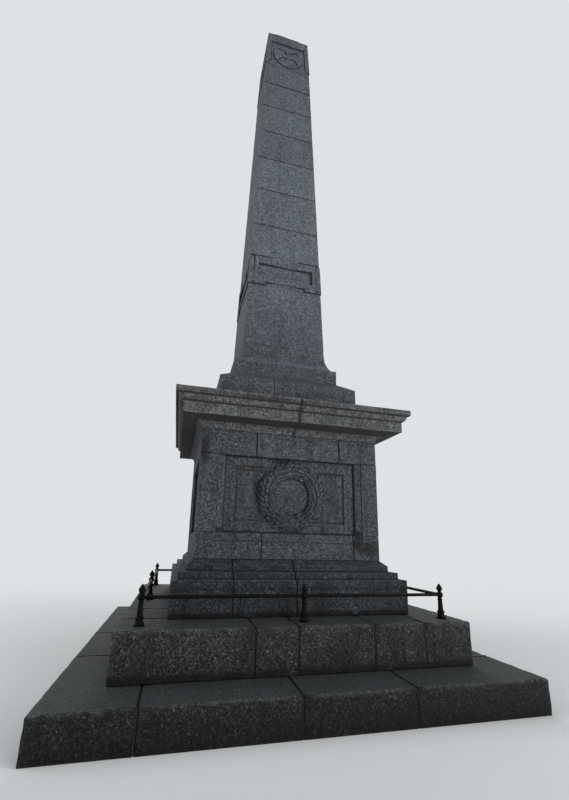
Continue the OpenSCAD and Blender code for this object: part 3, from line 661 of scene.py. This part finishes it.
def drawn_in(key, joint):
    """One block as a bmesh of whole flat faces, drawn in by half a joint in x and y, and its lowest and
    highest corner before that."""
    points, triangles = BLOCKS[key]
    used, small = np.unique(triangles, return_inverse=True)
    low, high = points[used].min(0), points[used].max(0)
    middle, size = (low + high) / 2, high - low
    shrink = np.array([(size[0] - joint) / size[0], (size[1] - joint) / size[1], 1.0])
    smaller = (points[used] - middle) * shrink + middle
    mesh = bpy.data.meshes.new("block")
    mesh.from_pydata(smaller.tolist(), [], small.reshape(-1, 3).tolist())
    mesh.validate()
    bm = bmesh.new()
    bm.from_mesh(mesh)
    bpy.data.meshes.remove(mesh)
    bm.normal_update()
    bmesh.ops.dissolve_limit(bm, angle_limit=FLAT, verts=bm.verts, edges=bm.edges)
    return bm, low, high


def soften(bm, round_by, shortest):
    """Bevels the outer edges that are longer than the shortest and tags their new faces. Gives the places of
    the inner edges' ends."""
    tag = bm.faces.layers.int.new("arris")
    turned = [(e, e.calc_face_angle_signed(0)) for e in bm.edges if len(e.link_faces) == 2]
    inner = np.array([v.co[:] for e, angle in turned if angle < -SHARP for v in e.verts]).reshape(-1, 3)
    outer = [e for e, angle in turned if angle > SHARP and e.calc_length() > shortest]
    bevelled = bmesh.ops.bevel(bm, geom=outer, offset=round_by, segments=2, profile=0.5, affect="EDGES",
                               clamp_overlap=True)
    for face in bevelled["faces"]:
        face[tag] = 1
    return inner


def cut_across(bm, axis, places):
    """Cuts the whole block by the planes where one coordinate equals each place."""
    normal = Matrix.Identity(3)[axis]
    for place in places:
        everything = bm.verts[:] + bm.edges[:] + bm.faces[:]
        bmesh.ops.bisect_plane(bm, geom=everything, plane_co=normal * float(place), plane_no=normal)


def worn_block(key, joint, round_by, cell, shortest, cuts):
    """One block, drawn in and softened, with its faces cut into cells, and once more beside each straight
    inner edge, over the ledge it stands on, and at the given cuts."""
    bm, low, high = drawn_in(key, joint)
    inner = soften(bm, round_by, shortest)
    for axis in range(3):
        count = int(np.ceil((high - low)[axis] / cell))
        places = np.linspace(low[axis], high[axis], count + 1)[1:-1]
        lines = np.unique(np.round(inner[:, axis], 3))
        if len(lines) <= FEW:
            places = np.concatenate([places, lines - HOLLOW_LINE, lines + HOLLOW_LINE])
        if axis == 2:
            places = np.append(places, low[2] + LEDGE_HOLLOW_LINE)
        cut_across(bm, axis, np.concatenate([places, cuts[axis]]))
    return bm


TRIAL = ("base_course_front", 0)
trial_block = worn_block(TRIAL, joint=0.005, round_by=0.006, cell=0.08, shortest=0.02, cuts=[[], [], []])
print("trial on a base stone:", len(trial_block.verts), "points,", len(trial_block.faces), "faces")

# %% Read a block as arrays
def read_block(bm):
    """A bmesh as arrays: points, normals, corners, face sizes, the arris tags, how hollow each point is, and
    the edges' ends. An edge is hollow where the middle of one face lies in front of the other's plane."""
    mesh = bpy.data.meshes.new("block")
    bm.to_mesh(mesh)
    bm.free()
    points, normals = read(mesh.vertices, "co", 3), read(mesh.vertices, "normal", 3)
    corners, edge_of = read(mesh.loops, "vertex_index", 1, int), read(mesh.loops, "edge_index", 1, int)
    sizes = read(mesh.polygons, "loop_total", 1, int)
    tags = read(mesh.attributes["arris"].data, "value", 1, int)
    middles, facing = read(mesh.polygons, "center", 3), read(mesh.polygons, "normal", 3)
    ends = read(mesh.edges, "vertices", 2, int)
    bpy.data.meshes.remove(mesh)
    order = np.argsort(edge_of, kind="stable")
    edge, face = edge_of[order], np.repeat(np.arange(len(sizes)), sizes)[order]
    pair = np.flatnonzero(edge[1:] == edge[:-1])
    one, two = face[pair], face[pair + 1]
    in_front = (facing[one] * (middles[two] - middles[one])).sum(1) > 0
    inner = in_front & ((facing[one] * facing[two]).sum(1) < cos(SHARP))
    hollow = np.zeros(len(points))
    hollow[ends[edge[pair][inner]].ravel()] = 1.0
    return points, normals, corners, sizes, tags, hollow, ends


def spread(values, ends, keep=0.55):
    """Each point takes at least a part of the value of its neighbours."""
    wider = values.copy()
    np.maximum.at(wider, ends[:, 0], keep * values[ends[:, 1]])
    np.maximum.at(wider, ends[:, 1], keep * values[ends[:, 0]])
    return wider


trial_points, *_, trial_hollow, _ = read_block(trial_block)
print("trial:", round(np.ptp(trial_points[:, 2]), 3), "m high, points in hollows:", int(trial_hollow.sum()))

# %% What lies beside a block
LEDGE_DEPTH = 0.012  # m, a ledge less deep than this gets no dirt and no painted shade over it
BELOW, ABOVE = 0.004, 0.002  # m, how far under and over the height of the dirt and painted shade a point may still lie


def beside_others(points, key, reach):
    """Two answers for each point: whether another block's box lies within reach of it, and whether it
    stands low on a wall over a ledge of another block."""
    near, over = np.zeros(len(points), bool), np.zeros(len(points), bool)
    for other, (low, high) in BOXES.items():
        if other != key:
            near |= (np.maximum(np.maximum(low - points, points - high), 0) ** 2).sum(1) < reach ** 2
            left, right, top = LEDGES[other]
            inside = (np.abs(points[:, :2] - (left + right) / 2) < (right - left) / 2 - LEDGE_DEPTH).all(1)
            over |= inside & (points[:, 2] > top - BELOW) & (points[:, 2] < top + LEDGE_HOLLOW_LINE + ABOVE)
    return near, over


trial_near, trial_over = beside_others(trial_points, TRIAL, reach=0.018)
print("trial:", trial_near.sum(), "points near other blocks,", trial_over.sum(), "low over a ledge")

# %% Build one course of worn stones
WALL = 0.7  # a point is on a wall where the height of its unit normal is under this
GROUND = 0.002  # m, points under this stand on the ground
TOUCHING = 2.2  # roundings, how near a point lies to another block where the two share a joint


def wear(points, on_arris, depth):
    """How far each point moves along its normal, never outwards. A face sinks by (0.25 - 0.2 a) depth, at
    most half. An arris sinks by (0.35 + 0.45 b + 0.5 c) depth, at most 2.2 where it is chipped. Here a, b
    and c are the broad, middle and fine wander. Points on the ground stay."""
    chipped = np.clip(0.35 + 0.45 * wander(points, 1) + 0.5 * wander(points, 2), 0, 2.2)
    sunk = np.clip(0.5 - 0.4 * wander(points, 0), 0, 1) / 2
    return np.where(points[:, 2] < GROUND, 0, -depth * np.where(on_arris, chipped, sunk))


def worn_course(name, nodes, joint, round_by, cell, depth, material, slot, shortest=0.03, steps=0,
                clean=0.0, line=1.0, fade=0.0):
    """All blocks of some nodes as one piece of worn stones, which stands for those nodes. Hollows spread by
    some steps, and the middle of each side stays free of dirt, painted shade and joint lines within the clean
    half width. The line is how dark the joints are. Where fade isn't 0, a cut that high over each block's
    foot ends the dirt and painted shade over a ledge."""
    lots, base = [], 0
    sides = [-clean, clean] if clean else []
    for key in [k for k in BOXES if k[0] in nodes]:
        cuts = [sides, sides, [BOXES[key][0][2] + fade] if fade else []]
        block = worn_block(key, joint, round_by, cell, shortest, cuts)
        points, normals, corners, sizes, tags, hollow, ends = read_block(block)
        for _ in range(steps):
            hollow = spread(hollow, ends)
        touch, over = beside_others(points, key, joint + TOUCHING * round_by)
        middle = (np.abs(points[:, :2]).min(1) < clean + 1e-4) & bool(clean)
        face = np.repeat(np.arange(len(sizes)), sizes)
        on_arris = np.zeros(len(points), bool)
        on_arris[corners[tags[face] > 0]] = True
        joints = line * ((tags > 0) & (np.bincount(face, (touch & ~middle)[corners], len(sizes)) == sizes))
        # Low on a wall over a ledge, and on arrises beside another block where hollows spread, lie dirt and
        # painted shade.
        dark_marked = (over & (np.abs(normals[:, 2]) < WALL)) | (on_arris & touch & (steps > 0))
        hollow = np.where(middle, 0, np.maximum(hollow, dark_marked))
        worn = points + normals * wear(points, on_arris, depth)[:, None]
        lots.append((worn, corners + base, sizes, np.full(len(sizes), rng.uniform()), joints,
                     on_arris & ~touch, hollow))
        base += len(points)
    points, corners, sizes, tones, joints, edges, hollows = [np.concatenate(part) for part in zip(*lots)]
    piece = mesh_piece(name, points, corners, sizes, material, slot, tone=tones, joint=joints, edge=edges,
                       hollow=hollows)
    weight = piece.modifiers.new("even_faces", "WEIGHTED_NORMAL")
    weight.mode = "FACE_AREA"
    weight.keep_sharp = False
    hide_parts(*nodes)


# %% All the courses
SIDES = ("front", "right", "back", "left")
CORNERS = ("front_left", "front_right", "back_right", "back_left")
NOTCH = 0.19  # m, half width of the notch over the band, whose bed joint doesn't show
COURSES = [  # name and nodes; joint, rounding, cell and wear in m; granite, slot, and what isn't as usual
    ("bottom_step_stones", [f"bottom_step_{s}" for s in SIDES],
     0.014, 0.014, 0.09, 0.005, STEPS, "step_granite", {}),
    ("second_step_stones", [f"second_step_{s}" for s in SIDES],
     0.012, 0.012, 0.09, 0.005, STEPS, "step_granite", {}),
    ("base_course_stones", [f"base_course_{s}" for s in SIDES],
     0.005, 0.006, 0.08, 0.003, BASE, "step_granite", {"shortest": 0.02, "line": 0.9}),
    ("die_base_stones", ["die_base_course"],
     0.004, 0.004, 0.08, 0.002, PEDESTAL, "pedestal_granite", {"shortest": 0.02, "line": 0.8}),
    ("pier_stones", [f"pier_{c}" for c in CORNERS],
     0.004, 0.005, 0.08, 0.002, PEDESTAL, "pedestal_granite", {"line": 0.7}),
    ("wreath_panel_stone", ["die_panel_front"],
     0.004, 0.004, 0.016, 0.0015, PEDESTAL, "pedestal_granite", {"shortest": 0.06, "steps": 2, "line": 0.7}),
    ("plain_panel_stones", [f"die_panel_{s}" for s in SIDES[1:]],
     0.004, 0.004, 0.08, 0.0015, PEDESTAL, "pedestal_granite", {"shortest": 0.06, "line": 0.7}),
    ("frieze_stones", ["frieze_course"],
     0.004, 0.008, 0.08, 0.002, PEDESTAL, "pedestal_granite", {"line": 0.6}),
    ("cornice_stones", [f"cornice_{c}" for c in CORNERS],
     0.002, 0.003, 0.09, 0.0015, CORNICE, "pedestal_granite", {"shortest": 0.008, "line": 0.35}),
    ("blocking_stones", ["blocking_left", "blocking_right"],
     0.002, 0.003, 0.09, 0.0015, PEDESTAL, "pedestal_granite", {"line": 0.4}),
    ("shaft_foot_stones", ["shaft_foot", "shaft_lower"],
     0.002, 0.003, 0.09, 0.003, SHAFT, "shaft_granite", {"shortest": 0.008, "line": 0.45}),
    ("shaft_band_stone", ["shaft_band"],
     0.004, 0.004, 0.016, 0.002, SHAFT, "shaft_granite", {"shortest": 0.016, "steps": 1, "clean": NOTCH}),
    ("shaft_stone_over_band", ["shaft_course_1"],
     0.004, 0.010, 0.09, 0.003, SHAFT, "shaft_granite", {"clean": NOTCH, "fade": 0.036}),
    ("shaft_stones", [f"shaft_course_{i}" for i in range(2, 7)],
     0.004, 0.016, 0.09, 0.004, SHAFT, "shaft_granite", {}),
    ("shaft_head_stone", ["shaft_head"],
     0.004, 0.005, 0.016, 0.002, SHAFT, "shaft_granite", {"shortest": 0.05, "steps": 1}),
    ("cap_worn_stone", ["cap_stone"],
     0.004, 0.010, 0.07, 0.004, SHAFT, "shaft_granite", {}),
]
for *course, more in COURSES:
    worn_course(*course, **more)

# %% [markdown]
# ## Pointing
# Between two blocks the eye sees dark mortar, set back by 14 mm. One piece
# holds it all: each course is copied once more and drawn in towards the middle,
# so it shows only where two blocks leave a gap.

# %% Mortar behind the faces
def pointing(recess=0.014):
    """Every block's points drawn in: x and y by (h - recess)/h, with h the node's half width, and z down
    from the node's top in the same way."""
    points, faces, base = [], [], 0
    for node in STONE_NODES:
        blocks = [block for key, block in BLOCKS.items() if key[0] == node]
        course = np.concatenate([block[0][np.unique(block[1])] for block in blocks])
        half, low, high = np.abs(course[:, :2]).max(), course[:, 2].min(), course[:, 2].max()
        for block_points, triangles in blocks:
            used, small = np.unique(triangles, return_inverse=True)
            part = block_points[used]
            part[:, :2] *= (half - recess) / half
            part[:, 2] = low + (part[:, 2] - low) * (high - low - recess) / (high - low)
            points.append(part)
            faces.append(small.reshape(-1, 3) + base)
            base += len(part)
    faces = np.concatenate(faces)
    mesh_piece("mortar_pointing", np.concatenate(points), faces, np.full(len(faces), 3), MORTAR, "hearting",
               smooth=False)


pointing()

# %% [markdown]
# ## The laurel wreath
# The mason carved a ring of laurel on the front of the die: two branches rise
# from a tie at the foot and meet at the top, their leaves laid in rows of
# five like tiles over the domed ring. Each leaf is one small curved shell with
# a skirt that runs down into the stone, and numpy sets all of them out at once.

# %% One laurel leaf
ACROSS, ALONG = 7, 8  # points over a leaf


def leaf_sheet():
    """One leaf, 1 long: at u along it and v across it, the half width is 0.23 sin(pi u^0.8). It is domed by
    0.16 sin(pi u^0.7) (1 - |v|^1.6), its midrib is sunk by 0.05 sin(pi u), its tip is 0.12 higher than its
    foot, and the outermost columns drop straight down by 0.45 as a skirt. Painted shade and dirt lie along
    the rims, v^2, and painted shadow where the leaf comes out from under the one before, 1 - 2u."""
    u, v = np.meshgrid(np.linspace(0.0, 1, ALONG), np.linspace(-1, 1, ACROSS - 2), indexing="ij")
    u, v = np.pad(u, ((0, 0), (1, 1)), "edge"), np.pad(v, ((0, 0), (1, 1)), "edge")
    width = 0.23 * np.sin(pi * np.clip(u, 0.02, 0.985) ** 0.8)
    dome = 0.16 * np.sin(pi * u ** 0.7) * (1 - np.abs(v) ** 1.6)
    midrib = 0.05 * np.exp(-(v / 0.2) ** 2) * np.sin(pi * u)
    lift = dome - midrib + 0.12 * u
    lift[:, [0, -1]] -= 0.45
    points = np.stack([u, width * v, lift], -1).reshape(-1, 3)
    i, j = np.meshgrid(np.arange(ALONG - 1), np.arange(ACROSS - 1), indexing="ij")
    k = i * ACROSS + j
    shaded = 0.46 * np.maximum(np.abs(v) ** 2, np.clip(1 - 2 * u, 0, 1))
    return points, np.stack([k, k + ACROSS, k + ACROSS + 1, k + 1], -1).reshape(-1, 4), shaded.ravel()


print("a leaf has", (ALONG - 1) * (ACROSS - 1), "faces")

# %% The laurel's two branches
WREATH_Z, RING = 2.089, 0.328  # m: the height of the ring's middle, and its radius
BAND, RELIEF = 0.092, 0.052  # m: half the width of the ring's band, and how high it is domed
LEAF, LEAST_PROUD = 0.100, 0.006  # m: the length of a leaf, and how far it stands out at least
ROWS = 17  # leaves along a branch
TIE, MEETING = 0.14, 0.06  # radians left free at the foot and at the top
LANES = (  # place over the band from -1 to 1, and splay in radians; the middle lane lies on top
    (-0.70, 0.50), (0.70, -0.50), (-0.38, 0.34), (0.38, -0.34), (0.0, 0.0))


def lane_of_leaves(shape, hand, lane, splay):
    """One lane of a branch: a leaf at some angle from the foot starts at (RING + lane * BAND) from the middle
    and turns from the branch's direction by its splay. Each of its points stands as high as the dome under
    it, RELIEF * (1 - off^2). Leaves vary by 0.014 in angle, 9% in length and 0.10 in turn. Inner lanes run
    up to 0.11 ahead, and outer leaves are shorter. By hand -1 the branch is mirrored in x."""
    turn = np.linspace(TIE, pi - MEETING, ROWS) + 0.11 * (1 - abs(lane)) + rng.normal(0, 0.014, ROWS)
    out = RING + lane * BAND
    size = LEAF * (1.0 + 0.09 * rng.normal(size=ROWS)) * (0.84 if abs(lane) > 0.5 else 1.0)
    way = turn + splay + rng.normal(0, 0.10, ROWS)
    along = np.stack([np.cos(way), np.sin(way)], -1)
    side = np.stack([np.sin(way), -np.cos(way)], -1)
    start = np.stack([out * np.sin(turn), -out * np.cos(turn)], -1)
    leaves = shape[None] * size[:, None, None]
    plan = start[:, None] + leaves[..., :1] * along[:, None] + leaves[..., 1:2] * side[:, None]
    off = np.clip((np.hypot(plan[..., 0], plan[..., 1]) - RING) / BAND, -1, 1)
    proud = np.maximum(RELIEF * (1 - off ** 2), LEAST_PROUD) + leaves[..., 2]
    return np.stack([hand * plan[..., 0], -PANEL_Y - proud, WREATH_Z + plan[..., 1]], -1).reshape(-1, 3)


def laurel():
    """All lanes of both branches as one piece. The corners of a mirrored leaf's faces run the other way
    round, so that they still face outwards."""
    shape, quads, shaded = leaf_sheet()
    points, faces = [], []
    for hand in (1, -1):
        for lane, splay in LANES:
            first = (len(points) * ROWS + np.arange(ROWS)) * len(shape)
            faces.append((quads[:, ::hand][None] + first[:, None, None]).reshape(-1, 4))
            points.append(lane_of_leaves(shape, hand, lane, splay))
    points, faces = np.concatenate(points), np.concatenate(faces)
    # The hollow mark lays painted shade and dirt on the leaves' rims and painted shadow at their feet.
    mesh_piece("laurel_leaves", points, faces, np.full(len(faces), 4), PEDESTAL, "pedestal_granite",
               hollow=np.tile(shaded, len(points) // len(shape)))


laurel()
